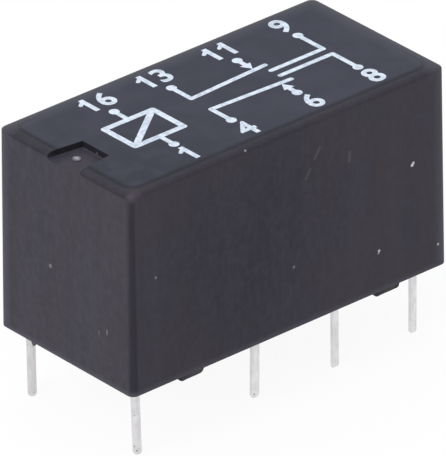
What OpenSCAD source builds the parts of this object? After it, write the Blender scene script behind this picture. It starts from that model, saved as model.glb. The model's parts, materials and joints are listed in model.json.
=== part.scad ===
// Miniature printed-circuit relay with two change-over contacts.
// Millimetres. The origin is the centre of the pin pattern, at the level of the pin tips.
// +X runs along the body, away from the coil pins. +Z points up. Front is the side of negative Y.

/* [Pin pattern] */
// Grid pitch of the circuit board
pitch = 2.54; // [2.5:0.02:2.54]
// Length of the pins below the feet
pin_l = 3.5; // [2.8:0.1:5]
// Diameter of the round coil pins
coil_pin_d = 0.45; // [0.4:0.01:0.5]
// Width of the pins of the common terminals
common_pin_w = 0.48; // [0.4:0.01:0.6]
// How much shorter the pins of the common terminals are
common_short = 0.22; // [0:0.02:0.3]
// Width of the pins of the other contact terminals
contact_pin_w = 0.38; // [0.3:0.01:0.5]
// Thickness of the terminal sheet
sheet_t = 0.2; // [0.15:0.01:0.25]

/* [Cover] */
// Length at the lower edge
cover_l = 20.2; // [20.2:0.05:20.6]
// Width at the lower edge
cover_w = 9.84; // [9.84:0.02:10.2]
// Height from the lower edge to the top
cover_h = 10.92; // [10.9:0.02:11.8]
// Draw-in of each side from the lower edge to the top
draft = 0.078; // [0:0.006:0.12]
// Thickness of the side walls
side_wall = 0.54; // [0.45:0.01:0.54]
// Thickness of the end walls
end_wall = 0.6; // [0.5:0.02:0.6]
// Thickness of the roof
roof_t = 0.8; // [0.6:0.05:0.8]
// Radius of the upright edges
edge_r = 0.36; // [0.2:0.02:0.5]
// Width of the bevel round the top
bevel_w = 0.43; // [0.1:0.01:0.5]
// Height of the bevel round the top
bevel_h = 0.19; // [0.1:0.01:0.4]
// Length of the notch that marks the coil end
notch_l = 2.1; // [1.5:0.1:3]
// Width of the notch at its inner end
notch_w = 1.96; // [1:0.02:3]
// Widening of the notch at each side, up to the end of the cover
notch_flare = 0.23; // [0:0.01:0.3]
// Depth of the notch
notch_depth = 0.38; // [0.2:0.02:0.5]
// Diameter of the sealed vent on the floor of the notch
vent_d = 0.45; // [0.3:0.05:0.8]

/* [Base] */
// Height of the feet below the cover
foot_h = 0.42; // [0.42:0.02:0.8]
// Length of a foot
foot_l = 1.4; // [1:0.1:2]
// Thickness of the base plate
plate_t = 1; // [0.8:0.1:1]
// Height of the wall between the two contact sets
barrier_h = 6.6; // [3:0.2:7.4]

/* [Coil] */
// Diameter of the winding
winding_d = 6.9; // [5:0.1:6.9]
// Diameter of the core
core_d = 2.6; // [2:0.1:2.8]
// Diameter of the pole
pole_d = 3.8; // [3.2:0.1:4]
// Thickness of the yoke and the armature
iron_t = 0.78; // [0.6:0.02:0.78]

/* [Motion] */
// Travel of the armature, in degrees
armature_travel = 3.3; // [2:0.1:3.3]
// Turn of a contact spring for each degree of the armature
spring_ratio = 0.94; // [0.9:0.01:0.94]
// Thickness of the contact springs and the return spring
leaf_t = 0.12; // [0.08:0.01:0.14]
// Width of the contact springs
leaf_w = 1.2; // [0.9:0.1:1.2]
// Diameter of the contacts
contact_d = 1; // [0.8:0.05:1.1]

/* [Hidden] */
$fn = 48;

// Gap between parts that move past each other, and between a part and its slot
gap = 0.02;
slot_gap = 0.01;
eps = 0.01;

// Pin columns, counted from the coil end, and the distance of each row from the middle
coil_x = -3.5 * pitch;
common_x = -0.5 * pitch;
closed_x = 1.5 * pitch;
open_x = 3.5 * pitch;
row_y = 1.5 * pitch;
tip_chamfer = 0.12;

// Levels
cover_z = pin_l + foot_h;
top_z = cover_z + cover_h;
top_l = cover_l - 2 * draft;
top_w = cover_w - 2 * draft;
cavity_l = cover_l - 2 * end_wall;
cavity_w = cover_w - 2 * side_wall;
cavity_r = 0.2;
roof_z = top_z - roof_t;
resin_z = cover_z + 0.2;
plate_z = resin_z + 0.38;
floor_z = plate_z + plate_t;

// Feet stand under the rim of the cover
foot_x = [-6.05, 6.45];
foot_reach = 0.24;
foot_depth = 1.1;
foot_r = 0.2;
foot_slant_l = 0.34;
foot_slant_h = 0.26;

// Guides that hold the contact terminals, and the walls between the contact sets
guide_l = 1.2;
guide_y = 0.52;
guide_h = 1.1;
barrier_x = 4.1;
barrier_y = 1.35;
barrier_t = 0.5;
block_l = 1.75;
stake_d = 0.6;
stake_gap = 0.07;

// Cheeks beside the foot of the armature, and the rib that the card rests on
cheek_l = 1.1;
cheek_t = 0.45;
cheek_h = 1.3;
rib_x = 2;
rib_l = 0.6;
rib_w = 2;

// Coil and magnet, along X
coil_z = floor_z + 4.38;
yoke_x0 = -cavity_l / 2 + 0.1;
yoke_w = 5.2;
yoke_h = 7.1;
flange_t = 0.6;
flange_w = 7.1;
flange_x0 = yoke_x0 + iron_t + 0.1;
flange_x1 = -2.65;
pole_x = -1.5;
pole_t = 0.5;
rivet_d = 1.7;
barrel_t = 0.4;
ear_y = 3.15;
ear_h = 1.9;
wire_slot_z = floor_z + 2.4;
wire_slot_h = 0.6;
coil_pin_top = floor_z + 2.9;
coil_pin_side = 0.44;
wrap_d = 0.8;
wrap_h = 0.7;
lead_d = 0.12;

// Armature, drawn against the pole and then tilted back to its resting place
pivot = [pole_x, 0, floor_z + 0.62];
armature_w = 4.4;
armature_top = coil_z + pole_d / 2 + 0.25;
armature_t = 0.7;
arm_t = 0.65;
arm_z = floor_z + 0.5;
limb_z = floor_z + 0.12;
limb_inset = 0.6;
arm_end = 2.3;

// Contact springs, hinged at the left end, where they are welded to the common terminals
leaf_z = floor_z + 3.1;
leaf_y = 3;
leaf_x0 = common_x - 0.48;
contact_x = 6.35;
leaf_x1 = contact_x + 0.62;
head_h = 0.22;
shank_d = 0.5;
shank_gap = 0.01;
leaf_travel = armature_travel * spring_ratio;
contact_rise = (contact_x - leaf_x0) * sin(leaf_travel);
fixed_head_h = 0.3;
tail_h = 0.12;
tail_d = 0.7;
tab_l = 1.2;
closed_tab_z = leaf_z - head_h - gap - fixed_head_h - sheet_t;
open_tab_z = leaf_z + leaf_t + head_h + contact_rise + gap + fixed_head_h;
tab_y = leaf_y - leaf_w / 2;
common_w = 0.9;
arm_h = 0.5;

// Card that carries the motion from the armature to the springs
card_x0 = 1.5;
card_x1 = 3.1;
card_w = 4.4;
card_z = floor_z + 0.16;
card_h = 1.82;
finger_x = 2.6;
finger_l = 0.5;
finger_gap = 0.03;
finger_end = leaf_y + leaf_w / 2 - 0.05;
ridge_x = 2.5;
ridge_d = 0.5;

// Return spring, which presses on the ridge of the card
return_z = card_z + card_h + 0.06 + gap;
return_w = 1.6;
return_x0 = 2.05;
return_x1 = cavity_l / 2 - 0.5;
stake_x = return_x1 - 0.75;

case_grey = [0.26, 0.25, 0.27];
resin_grey = [0.2, 0.2, 0.21];
bobbin_white = [0.86, 0.84, 0.78];
copper = [0.72, 0.38, 0.2];
nickel = [0.72, 0.71, 0.68];
tin = [0.8, 0.8, 0.8];
bronze = [0.8, 0.62, 0.4];
silver = [0.86, 0.86, 0.84];

// A rectangle with round corners, drawn from true circles
module rounded_rect(l, w, r) {
    square([l - 2 * r, w], center = true);
    square([l, w - 2 * r], center = true);
    for (sx = [-1, 1], sy = [-1, 1]) translate([sx * (l / 2 - r), sy * (w / 2 - r)]) circle(r = r);
}

// Mirrors a part that is drawn on the front side to the rear side
module on_side(side) {
    if (side == "front") children();
    else mirror([0, 1, 0]) children();
}

// Upright sheet cut to an outline in X and Z, at a pin row
module upright_sheet(outline) {
    translate([0, -row_y + sheet_t / 2, 0]) rotate([90, 0, 0]) linear_extrude(sheet_t) polygon(outline);
}

// Four thin discs at the corners of a rectangle, which give a block its round upright edges
module corner_discs(l, w, z) {
    for (sx = [-1, 1], sy = [-1, 1])
        translate([sx * (l / 2 - edge_r), sy * (w / 2 - edge_r), z]) cylinder(r = edge_r, h = eps, $fn = 32);
}

// Block with the draft, the round upright edges and the bevelled top of the cover
module cover_block() {
    hull() {
        corner_discs(cover_l, cover_w, cover_z);
        corner_discs(top_l, top_w, top_z - bevel_h - eps);
        corner_discs(top_l - 2 * bevel_w, top_w - 2 * bevel_w, top_z - eps);
    }
}

// Room that is taken out for the notch, wider towards the end of the cover
module notch_room() {
    inner_x = -cover_l / 2 + notch_l;
    outer_x = -cover_l / 2 - 1;
    inner_w = notch_w / 2;
    outer_w = inner_w + notch_flare * (notch_l + 1) / notch_l;
    translate([0, 0, top_z - notch_depth]) linear_extrude(notch_depth + 1)
        polygon([[outer_x, -outer_w], [inner_x, -inner_w], [inner_x, inner_w], [outer_x, outer_w]]);
}

// Burr that the mould has left under the end wall
module burr() {
    burr_w = 0.3;
    burr_h = 0.24;
    burr_y = 2.53;
    translate([-cover_l / 2 + 0.02, 0, cover_z]) rotate([90, 0, 90]) linear_extrude(0.3)
        polygon([[burr_y - burr_w / 2, eps], [burr_y + burr_w / 2, eps], [burr_y + 0.03, -burr_h]]);
}

module cover() {
    vent_x = -8.85;
    vent_y = 0.42;
    vent_h = 0.1;
    color(case_grey) {
        difference() {
            cover_block();
            translate([0, 0, cover_z - 1]) linear_extrude(roof_z - cover_z + 1)
                rounded_rect(cavity_l, cavity_w, cavity_r);
            notch_room();
        }
        translate([vent_x, vent_y, top_z - notch_depth - eps]) cylinder(d = vent_d, h = vent_h + eps);
        burr();
    }
}

// Foot on the front side, with one round and one slanted lower corner
module foot(x) {
    translate([x, -cavity_w / 2 + slot_gap + foot_depth, 0]) rotate([90, 0, 0]) linear_extrude(foot_depth)
        foot_outline(plate_z + eps);
    translate([x, -cavity_w / 2 + slot_gap + eps, 0]) rotate([90, 0, 0]) linear_extrude(foot_reach + eps)
        foot_outline(cover_z);
}

module foot_outline(top) {
    left = -foot_l / 2;
    right = foot_l / 2;
    polygon([
        [left, top], [left, pin_l + foot_r], [left + foot_r, pin_l],
        [right - foot_slant_l, pin_l], [right, pin_l + foot_slant_h], [right, top]
    ]);
    translate([left + foot_r, pin_l + foot_r]) circle(r = foot_r);
}

// Guide block of a contact terminal, on the front side
module guide(x) {
    translate([x - guide_l / 2, -cavity_w / 2 + slot_gap, floor_z - eps])
        cube([guide_l, cavity_w / 2 - row_y + guide_y, guide_h + eps]);
}

// Slot for a contact terminal, on the front side
module terminal_slot(x, w) {
    translate([x - w / 2 - slot_gap, -row_y - sheet_t / 2 - slot_gap, plate_z - 1])
        cube([w + 2 * slot_gap, sheet_t + 2 * slot_gap, plate_t + guide_h + 2]);
}

module coil_pin_hole(bottom) {
    side = coil_pin_side + 2 * slot_gap;
    translate([coil_x - side / 2, -row_y - side / 2, bottom]) cube([side, side, 6]);
}

module base() {
    block_x = cavity_l / 2 - slot_gap - block_l;
    head_z = return_z + leaf_t + stake_gap;
    color(case_grey) {
        difference() {
            union() {
                translate([0, 0, plate_z]) linear_extrude(plate_t)
                    rounded_rect(cavity_l - 2 * slot_gap, cavity_w - 2 * slot_gap, cavity_r);
                for (side = ["front", "rear"]) on_side(side) {
                    for (x = foot_x) foot(x);
                    guide(common_x);
                    guide(closed_x);
                    guide(cavity_l / 2 - 0.15 - guide_l / 2);
                    translate([barrier_x, -barrier_y - barrier_t, floor_z - eps])
                        cube([cavity_l / 2 - slot_gap - barrier_x, barrier_t, barrier_h + eps]);
                    translate([pole_x + gap, -armature_w / 2 - 2 * gap - cheek_t, floor_z - eps])
                        cube([cheek_l, cheek_t, cheek_h + eps]);
                }
                translate([block_x, -barrier_y - eps, floor_z - eps])
                    cube([block_l, 2 * barrier_y + 2 * eps, return_z - floor_z + eps]);
                translate([rib_x, -rib_w / 2, floor_z - eps]) cube([rib_l, rib_w, card_z - gap - floor_z + eps]);
            }
            for (side = ["front", "rear"]) on_side(side) {
                terminal_slot(common_x, common_pin_w);
                terminal_slot(closed_x, contact_pin_w);
                terminal_slot(open_x, contact_pin_w);
                coil_pin_hole(plate_z - 1);
            }
        }
        translate([stake_x, 0, return_z - eps]) cylinder(d = stake_d, h = head_z - return_z + 2 * eps);
        translate([stake_x, 0, head_z]) cylinder(d1 = 2 * stake_d, d2 = 1.3 * stake_d, h = 0.25);
    }
}

// Resin that closes the underside, round the feet and the pins
module sealing_resin() {
    color(resin_grey) difference() {
        translate([0, 0, resin_z]) linear_extrude(plate_z - resin_z)
            rounded_rect(cavity_l, cavity_w, cavity_r);
        for (side = ["front", "rear"]) on_side(side) {
            for (x = foot_x) translate([x - foot_l / 2, -cavity_w / 2 - 1, resin_z - 1])
                cube([foot_l, foot_depth + slot_gap + 1, 3]);
            terminal_slot(common_x, common_pin_w);
            terminal_slot(closed_x, contact_pin_w);
            terminal_slot(open_x, contact_pin_w);
            coil_pin_hole(resin_z - 1);
        }
    }
}

// Square plate at an end of the winding
module flange(x) {
    translate([x, 0, coil_z]) rotate([90, 0, 90]) linear_extrude(flange_t)
        rounded_rect(flange_w, flange_w, 0.4);
}

module coil_cylinder(x0, x1, d) {
    translate([x0, 0, coil_z]) rotate([0, 90, 0]) cylinder(d = d, h = x1 - x0);
}

module bobbin() {
    bore = core_d + 2 * gap;
    color(bobbin_white) difference() {
        union() {
            flange(flange_x0);
            flange(flange_x1);
            coil_cylinder(flange_x0, flange_x1 + eps, bore + 2 * barrel_t);
            for (side = ["front", "rear"]) on_side(side)
                translate([-cavity_l / 2 + 0.15, -cavity_w / 2 + 0.08, floor_z + gap])
                    cube([flange_x0 + flange_t + cavity_l / 2 - 0.15, cavity_w / 2 - 0.08 - ear_y, ear_h]);
        }
        coil_cylinder(flange_x0 - 1, flange_x1 + 1, bore);
        for (side = ["front", "rear"]) on_side(side) {
            coil_pin_hole(floor_z - 1);
            translate([flange_x0 - 1, -flange_w / 2 - 1, wire_slot_z]) cube([flange_t + 2, 1.7, wire_slot_h]);
        }
    }
}

module coil_winding() {
    x0 = flange_x0 + flange_t + gap;
    x1 = flange_x1 - gap;
    color(copper) difference() {
        coil_cylinder(x0, x1, winding_d);
        coil_cylinder(x0 - 1, x1 + 1, core_d + 4 * gap + 2 * barrel_t);
    }
}

// Core with a pole at its free end and a neck that is riveted into the yoke
module core() {
    neck_x = yoke_x0 + iron_t;
    color(nickel) {
        coil_cylinder(yoke_x0 - 0.05, neck_x + eps, rivet_d);
        coil_cylinder(neck_x, pole_x - pole_t + eps, core_d);
        coil_cylinder(pole_x - pole_t, pole_x, pole_d);
    }
}

module yoke() {
    color(nickel) difference() {
        union() {
            translate([yoke_x0, -yoke_w / 2, floor_z]) cube([iron_t, yoke_w, yoke_h]);
            translate([yoke_x0, -yoke_w / 2, floor_z]) cube([pole_x - 1.5 * gap - yoke_x0, yoke_w, iron_t]);
        }
        coil_cylinder(yoke_x0 - 1, yoke_x0 + iron_t + 1, rivet_d + 2 * slot_gap);
    }
}

// Armature as it lies when it has been pulled to the pole. Its arm can grow, to cut its own pocket
module armature_closed(grow) {
    x0 = pole_x + gap;
    translate([x0, -armature_w / 2, limb_z]) cube([armature_t, armature_w, armature_top - limb_z]);
    translate([x0, -armature_w / 2 + limb_inset - grow, arm_z - grow])
        cube([arm_end - x0 + grow, armature_w - 2 * limb_inset + 2 * grow, arm_t + 2 * grow]);
}

module tilt_back() {
    translate(pivot) rotate([0, armature_travel, 0]) translate(-pivot) children();
}

module armature() {
    color(nickel) tilt_back() armature_closed(0);
}

// Moulded card on the end of the armature's arm, with a finger under each contact spring
module actuator_card() {
    finger_top = leaf_z - finger_gap;
    color(bobbin_white) difference() {
        union() {
            translate([card_x0, -card_w / 2, card_z]) cube([card_x1 - card_x0, card_w, card_h]);
            translate([ridge_x, return_w / 2, card_z + card_h + 0.06 - ridge_d / 2])
                rotate([90, 0, 0]) cylinder(d = ridge_d, h = return_w);
            translate([finger_x, finger_end, finger_top - finger_l / 2]) rotate([90, 0, 0])
                cylinder(d = finger_l, h = 2 * finger_end);
            translate([finger_x - finger_l / 2, -finger_end, card_z + card_h - 0.6])
                cube([finger_l, 2 * finger_end, finger_top - finger_l / 2 - card_z - card_h + 0.6]);
        }
        translate([card_x0 - 1, -return_w / 2 - 0.3, card_z + card_h]) difference() {
            cube([4, return_w + 0.6, 3]);
            translate([ridge_x - card_x0 + 1, return_w + 0.3, 0.06 - ridge_d / 2]) rotate([90, 0, 0])
                cylinder(d = ridge_d, h = return_w);
        }
        tilt_back() armature_closed(slot_gap);
    }
}

module return_spring() {
    color(bronze) difference() {
        translate([return_x0, -return_w / 2, return_z]) cube([return_x1 - return_x0, return_w, leaf_t]);
        translate([stake_x, 0, return_z - 1]) cylinder(d = stake_d + 0.12, h = 2);
    }
}

// Round pin outside, square stretch in the base and the bobbin
module coil_terminal(side) {
    color(tin) on_side(side) translate([coil_x, -row_y, 0]) {
        cylinder(d1 = 0.6 * coil_pin_d, d2 = coil_pin_d, h = tip_chamfer);
        translate([0, 0, tip_chamfer]) cylinder(d = coil_pin_d, h = cover_z - gap - tip_chamfer);
        translate([-coil_pin_side / 2, -coil_pin_side / 2, cover_z - gap])
            cube([coil_pin_side, coil_pin_side, coil_pin_top - cover_z + gap]);
    }
}

// End of the winding wire, wrapped round the coil pin and soldered
module coil_lead(side) {
    wrap_z = coil_pin_top - 0.15 - wrap_h;
    start = [coil_x, -row_y, wrap_z + wrap_h / 2];
    end = [flange_x0 + flange_t + 0.25, -2.9, coil_z - 1.83];
    run = end - start;
    reach = norm(run);
    color(copper) on_side(side) difference() {
        union() {
            translate([coil_x, -row_y, wrap_z]) cylinder(d = wrap_d, h = wrap_h);
            translate(start) rotate([0, acos(run[2] / reach), atan2(run[1], run[0])])
                cylinder(d = lead_d, h = reach);
        }
        coil_pin_hole(floor_z);
        coil_cylinder(flange_x0 + flange_t, flange_x1, winding_d + 2 * slot_gap);
    }
}

// Points at the tip of a pin, on its left and on its right, where low is the level of the tip
function pin_left(x, w, low = 0) = [[x - w / 4, low], [x - w / 2, low + tip_chamfer]];
function pin_right(x, w, low = 0) = [[x + w / 2, low + tip_chamfer], [x + w / 4, low]];

// Tab that is bent inwards from an upright sheet
module tab(x0, x1, z) {
    translate([x0, -row_y - sheet_t / 2, z]) cube([x1 - x0, row_y + sheet_t / 2 - tab_y, sheet_t]);
}

module rivet_hole(z) {
    translate([contact_x, -leaf_y, z - 1]) cylinder(d = shank_d + 2 * shank_gap, h = 2);
}

module common_terminal(side) {
    shoulder = floor_z + guide_h + 0.1;
    top = leaf_z;
    color(tin) on_side(side) {
        upright_sheet(concat(
            pin_left(common_x, common_pin_w, common_short),
            [[common_x - common_pin_w / 2, shoulder], [common_x - common_w / 2, shoulder + 0.2],
             [common_x - common_w / 2, top], [common_x + common_w / 2, top],
             [common_x + common_w / 2, shoulder + 0.2], [common_x + common_pin_w / 2, shoulder]],
            pin_right(common_x, common_pin_w, common_short)
        ));
        tab(common_x - common_w / 2, common_x + common_w / 2, top - sheet_t);
    }
}

module closed_terminal(side) {
    top = closed_tab_z + sheet_t;
    low = top - arm_h;
    color(tin) on_side(side) difference() {
        union() {
            upright_sheet(concat(
                pin_left(closed_x, contact_pin_w),
                [[closed_x - contact_pin_w / 2, top], [contact_x + tab_l / 2, top],
                 [contact_x + tab_l / 2, low], [closed_x + contact_pin_w / 2 + 0.3, low],
                 [closed_x + contact_pin_w / 2, low - 0.3]],
                pin_right(closed_x, contact_pin_w)
            ));
            tab(contact_x - tab_l / 2, contact_x + tab_l / 2, closed_tab_z);
        }
        rivet_hole(closed_tab_z);
    }
}

module open_terminal(side) {
    top = open_tab_z + sheet_t;
    low = top - arm_h;
    color(tin) on_side(side) difference() {
        union() {
            upright_sheet(concat(
                pin_left(open_x, contact_pin_w),
                [[open_x - contact_pin_w / 2, low - 0.3], [open_x - contact_pin_w / 2 - 0.3, low],
                 [contact_x - tab_l / 2, low], [contact_x - tab_l / 2, top],
                 [open_x + contact_pin_w / 2, top]],
                pin_right(open_x, contact_pin_w)
            ));
            tab(contact_x - tab_l / 2, contact_x + tab_l / 2, open_tab_z);
        }
        rivet_hole(open_tab_z);
    }
}

// Rivet with a domed head that grows upwards from z and a flat tail below the sheet
module fixed_rivet(z, up) {
    dome_r = (contact_d * contact_d / 4 + 0.01) / 0.2;
    translate([contact_x, -leaf_y, z]) mirror([0, 0, up ? 0 : 1]) {
        intersection() {
            cylinder(d = contact_d, h = fixed_head_h);
            translate([0, 0, fixed_head_h - dome_r]) sphere(r = dome_r, $fn = 96);
        }
        translate([0, 0, -sheet_t - eps]) cylinder(d = shank_d, h = sheet_t + 2 * eps);
        translate([0, 0, -sheet_t - tail_h]) cylinder(d = tail_d, h = tail_h);
    }
}

module closed_contact(side) {
    color(silver) on_side(side) fixed_rivet(closed_tab_z + sheet_t, true);
}

module open_contact(side) {
    color(silver) on_side(side) fixed_rivet(open_tab_z, false);
}

// Leaf that is wide at its root, narrower along its run and round at its end
module contact_spring(side) {
    root = leaf_w / 2;
    waist = 0.8 * root;
    color(bronze) on_side(side) translate([0, -leaf_y, leaf_z]) difference() {
        linear_extrude(leaf_t) {
            polygon([
                [leaf_x0, -root], [leaf_x0 + 1.6, -root], [leaf_x0 + 2.4, -waist], [contact_x, -waist],
                [contact_x, waist], [leaf_x0 + 2.4, waist], [leaf_x0 + 1.6, root], [leaf_x0, root]
            ]);
            translate([contact_x, 0]) circle(r = leaf_x1 - contact_x);
        }
        translate([contact_x, 0, -1]) cylinder(d = shank_d + 2 * shank_gap, h = 2);
    }
}

// Double-sided rivet: one dome meets the closed contact and the other meets the open contact
module moving_contact(side) {
    dome_r = (contact_d * contact_d / 4 + 0.01) / 0.2;
    color(silver) on_side(side) translate([contact_x, -leaf_y, leaf_z]) {
        cylinder(d = shank_d, h = leaf_t);
        for (z = [0, leaf_t]) translate([0, 0, z]) mirror([0, 0, z == 0 ? 1 : 0]) intersection() {
            cylinder(d = contact_d, h = head_h);
            translate([0, 0, head_h - dome_r]) sphere(r = dome_r, $fn = 96);
        }
    }
}

cover();
base();
sealing_resin();
bobbin();
coil_winding();
core();
yoke();
armature();
actuator_card();
return_spring();
coil_terminal("front");  // coil_terminal_front
coil_terminal("rear");  // coil_terminal_rear
coil_lead("front");  // coil_lead_front
coil_lead("rear");  // coil_lead_rear
common_terminal("front");  // common_terminal_front
common_terminal("rear");  // common_terminal_rear
closed_terminal("front");  // closed_terminal_front
closed_terminal("rear");  // closed_terminal_rear
open_terminal("front");  // open_terminal_front
open_terminal("rear");  // open_terminal_rear
closed_contact("front");  // closed_contact_front
closed_contact("rear");  // closed_contact_rear
open_contact("front");  // open_contact_front
open_contact("rear");  // open_contact_rear
contact_spring("front");  // contact_spring_front
contact_spring("rear");  // contact_spring_rear
moving_contact("front");  // moving_contact_front
moving_contact("rear");  // moving_contact_rear
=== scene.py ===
import json
import math

import bmesh
import bpy
from mathutils import Matrix, Vector

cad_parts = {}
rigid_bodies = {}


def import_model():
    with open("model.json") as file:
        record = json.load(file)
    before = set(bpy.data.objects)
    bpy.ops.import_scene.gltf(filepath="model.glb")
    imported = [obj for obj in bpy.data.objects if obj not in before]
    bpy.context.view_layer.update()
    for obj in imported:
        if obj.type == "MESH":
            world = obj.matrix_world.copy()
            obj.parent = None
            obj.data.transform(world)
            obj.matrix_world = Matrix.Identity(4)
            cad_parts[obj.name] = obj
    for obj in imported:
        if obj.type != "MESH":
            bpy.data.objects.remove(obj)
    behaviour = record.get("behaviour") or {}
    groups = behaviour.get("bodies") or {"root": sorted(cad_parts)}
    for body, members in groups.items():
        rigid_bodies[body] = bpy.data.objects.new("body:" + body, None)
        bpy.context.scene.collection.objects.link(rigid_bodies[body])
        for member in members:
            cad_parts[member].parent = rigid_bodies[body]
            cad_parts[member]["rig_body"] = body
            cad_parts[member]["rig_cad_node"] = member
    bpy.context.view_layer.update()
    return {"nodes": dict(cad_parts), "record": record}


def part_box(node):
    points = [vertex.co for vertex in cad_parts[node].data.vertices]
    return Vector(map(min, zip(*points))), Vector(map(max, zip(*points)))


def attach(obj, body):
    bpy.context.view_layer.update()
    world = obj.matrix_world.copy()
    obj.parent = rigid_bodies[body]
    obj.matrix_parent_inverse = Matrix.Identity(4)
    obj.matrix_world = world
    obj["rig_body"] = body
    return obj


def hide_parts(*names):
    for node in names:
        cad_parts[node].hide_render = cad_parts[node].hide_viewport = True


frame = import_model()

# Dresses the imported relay: a moulded case with its printed diagram, pins, resin and the parts inside.
# Sizes in the settings are millimetres unless a note says otherwise, and mm turns them to metres.
mm = 0.001
sides = {"front": -1, "rear": 1}  # front is negative Y
pitch = 2.54
pinColumns = {"coil": -3.5 * pitch, "common": -0.5 * pitch, "closed": 1.5 * pitch, "open": 3.5 * pitch}
pinRow = 1.5 * pitch
halfLength, halfWidth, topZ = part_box("cover")[1] / mm
rimZ = 3.92
footZ = 3.5
overshoot = 1.0              # how far a cutting tool runs past what it cuts
longEdge = 1.0               # an upright or crosswise edge to be found is longer than this
near = 0.01                  # parts of a mesh are found by their place to within this
hair = 0.001                 # points this near to each other are merged
seam = 0.0001                # and so are corners of the loose triangles of a CAD node that are this near
facing = 0.9                 # a face looks along an axis where that share of its normal does
sharp = 40                   # degrees between faces from which an edge is rounded
softSteps = 2                # in the rounding of a fine edge
print("frame loaded, nodes:", len(frame["nodes"]))


# Small helpers for modelling by operators

def objectMode():
    bpy.ops.object.mode_set(mode="OBJECT")


def deselectAll():
    if bpy.context.object and bpy.context.object.mode != "OBJECT":
        objectMode()
    bpy.ops.object.select_all(action="DESELECT")


def pick(piece):
    deselectAll()
    piece.select_set(True)
    bpy.context.view_layer.objects.active = piece


def editMode(piece):
    pick(piece)
    bpy.ops.object.mode_set(mode="EDIT")


def newPiece(name):
    # names the primitive that was just added, and puts its place and size into its mesh
    piece = bpy.context.object
    piece.name = name
    piece.data.name = name
    pick(piece)
    bpy.ops.object.transform_apply(location=True, rotation=True, scale=True)
    return piece


def addBox(name, low, high):
    deselectAll()
    centre = [(a + b) / 2 * mm for a, b in zip(low, high)]
    size = [(b - a) * mm for a, b in zip(low, high)]
    bpy.ops.mesh.primitive_cube_add(size=1, location=centre, scale=size)
    return newPiece(name)


def addRod(name, radius, start, end, corners):
    # a straight round rod between two points
    deselectAll()
    start, end = Vector(start), Vector(end)
    run = end - start
    bpy.ops.mesh.primitive_cylinder_add(vertices=corners, radius=radius * mm, depth=run.length * mm,
                                        location=(start + end) / 2 * mm,
                                        rotation=run.to_track_quat("Z", "Y").to_euler())
    return newPiece(name)


def addBall(name, radius, place, segments, rings):
    deselectAll()
    bpy.ops.mesh.primitive_uv_sphere_add(segments=segments, ring_count=rings, radius=radius * mm,
                                         location=Vector(place) * mm)
    return newPiece(name)


def joinPieces(pieces, name):
    deselectAll()
    for piece in pieces:
        piece.select_set(True)
    bpy.context.view_layer.objects.active = pieces[0]
    bpy.ops.object.join()
    pieces[0].name = name
    pieces[0].data.name = name
    return pieces[0]


def selectParts(piece, kind, wanted, sharperThan=0):
    # wanted gets the middle of a face and its normal, both ends of an edge, or the place of a vertex,
    # in millimetres, and sharperThan is the angle between the faces of an edge in degrees
    bpy.ops.mesh.select_mode(type=kind)
    bpy.ops.mesh.select_all(action="DESELECT")
    shape = bmesh.from_edit_mesh(piece.data)
    if kind == "FACE":
        found = [face for face in shape.faces if wanted(face.calc_center_median() / mm, face.normal)]
    elif kind == "VERT":
        found = [point for point in shape.verts if wanted(point.co / mm)]
    else:
        found = [edge for edge in shape.edges if wanted(*[end.co / mm for end in edge.verts])]
    if sharperThan:
        found = [edge for edge in found if len(edge.link_faces) == 2
                 and math.degrees(edge.calc_face_angle(0)) >= sharperThan]
    for part in found:
        part.select_set(True)
    if kind == "VERT":
        shape.select_flush(True)
    bmesh.update_edit_mesh(piece.data)


def selectAll():
    bpy.ops.mesh.select_all(action="SELECT")


def resizeAbout(factors, centre=(0, 0, 0)):
    # in edit mode, resizes what is selected about a place
    bpy.ops.transform.resize(value=factors, center_override=[c * mm for c in centre])


def mergePoints():
    # in edit mode, merges points that a bevel or a cut has left on one place
    selectAll()
    bpy.ops.mesh.remove_doubles(threshold=hair * mm)
    bpy.ops.mesh.dissolve_degenerate(threshold=hair * mm)


def turnOutwards():
    selectAll()
    bpy.ops.mesh.normals_make_consistent(inside=False)


def roundEdges(piece, wanted, radius, steps=3, sharperThan=0):
    # in edit mode, rounds the edges that are wanted
    selectParts(piece, "EDGE", wanted, sharperThan)
    bpy.ops.mesh.bevel(offset=radius * mm, segments=steps, affect="EDGES", clamp_overlap=True)
    mergePoints()


def roundPiece(piece, wanted, radius, steps=3, sharperThan=0):
    editMode(piece)
    roundEdges(piece, wanted, radius, steps, sharperThan)
    objectMode()
    return piece


def anyEdge(a, b):
    return True


def uprightEdge(a, b):
    return abs(a.z - b.z) > longEdge


def addModifier(piece, kind, settings):
    # adds a modifier with its settings and applies it at once
    modifier = piece.modifiers.new(kind.lower(), kind)
    for key, value in settings.items():
        setattr(modifier, key, value)
    pick(piece)
    bpy.ops.object.modifier_apply(modifier=modifier.name)


def combine(piece, operation, tool):
    # cuts a tool away by DIFFERENCE, or welds it on by UNION
    addModifier(piece, "BOOLEAN", {"operation": operation, "solver": "EXACT", "object": tool})
    bpy.data.objects.remove(tool)
    editMode(piece)
    mergePoints()
    objectMode()


# Ways to shade: the angle in degrees up to which faces are smooth, and whether flat faces are kept flat
shadings = {"moulded": (32, True), "pressed": (40, True), "rounded": (50, False), "drop": (60, False)}


def smoothFinish(piece, shading):
    angle, keepFlat = shadings[shading]
    pick(piece)
    bpy.ops.object.shade_smooth_by_angle(angle=math.radians(angle))
    if keepFlat:
        addModifier(piece, "WEIGHTED_NORMAL", {"keep_sharp": True})


def dress(piece, material, body, slot, *nodes):
    piece.data.materials.clear()
    piece.data.materials.append(material)
    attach(piece, body)
    if nodes:
        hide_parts(*nodes)


# Helpers for materials

def linearColour(hexText):
    # turns an sRGB hex value into the linear colour that Blender works with
    parts = [int(hexText[i:i + 2], 16) / 255 for i in (1, 3, 5)]
    return tuple(c / 12.92 if c <= 0.04045 else ((c + 0.055) / 1.055) ** 2.4 for c in parts) + (1.0,)


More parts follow.
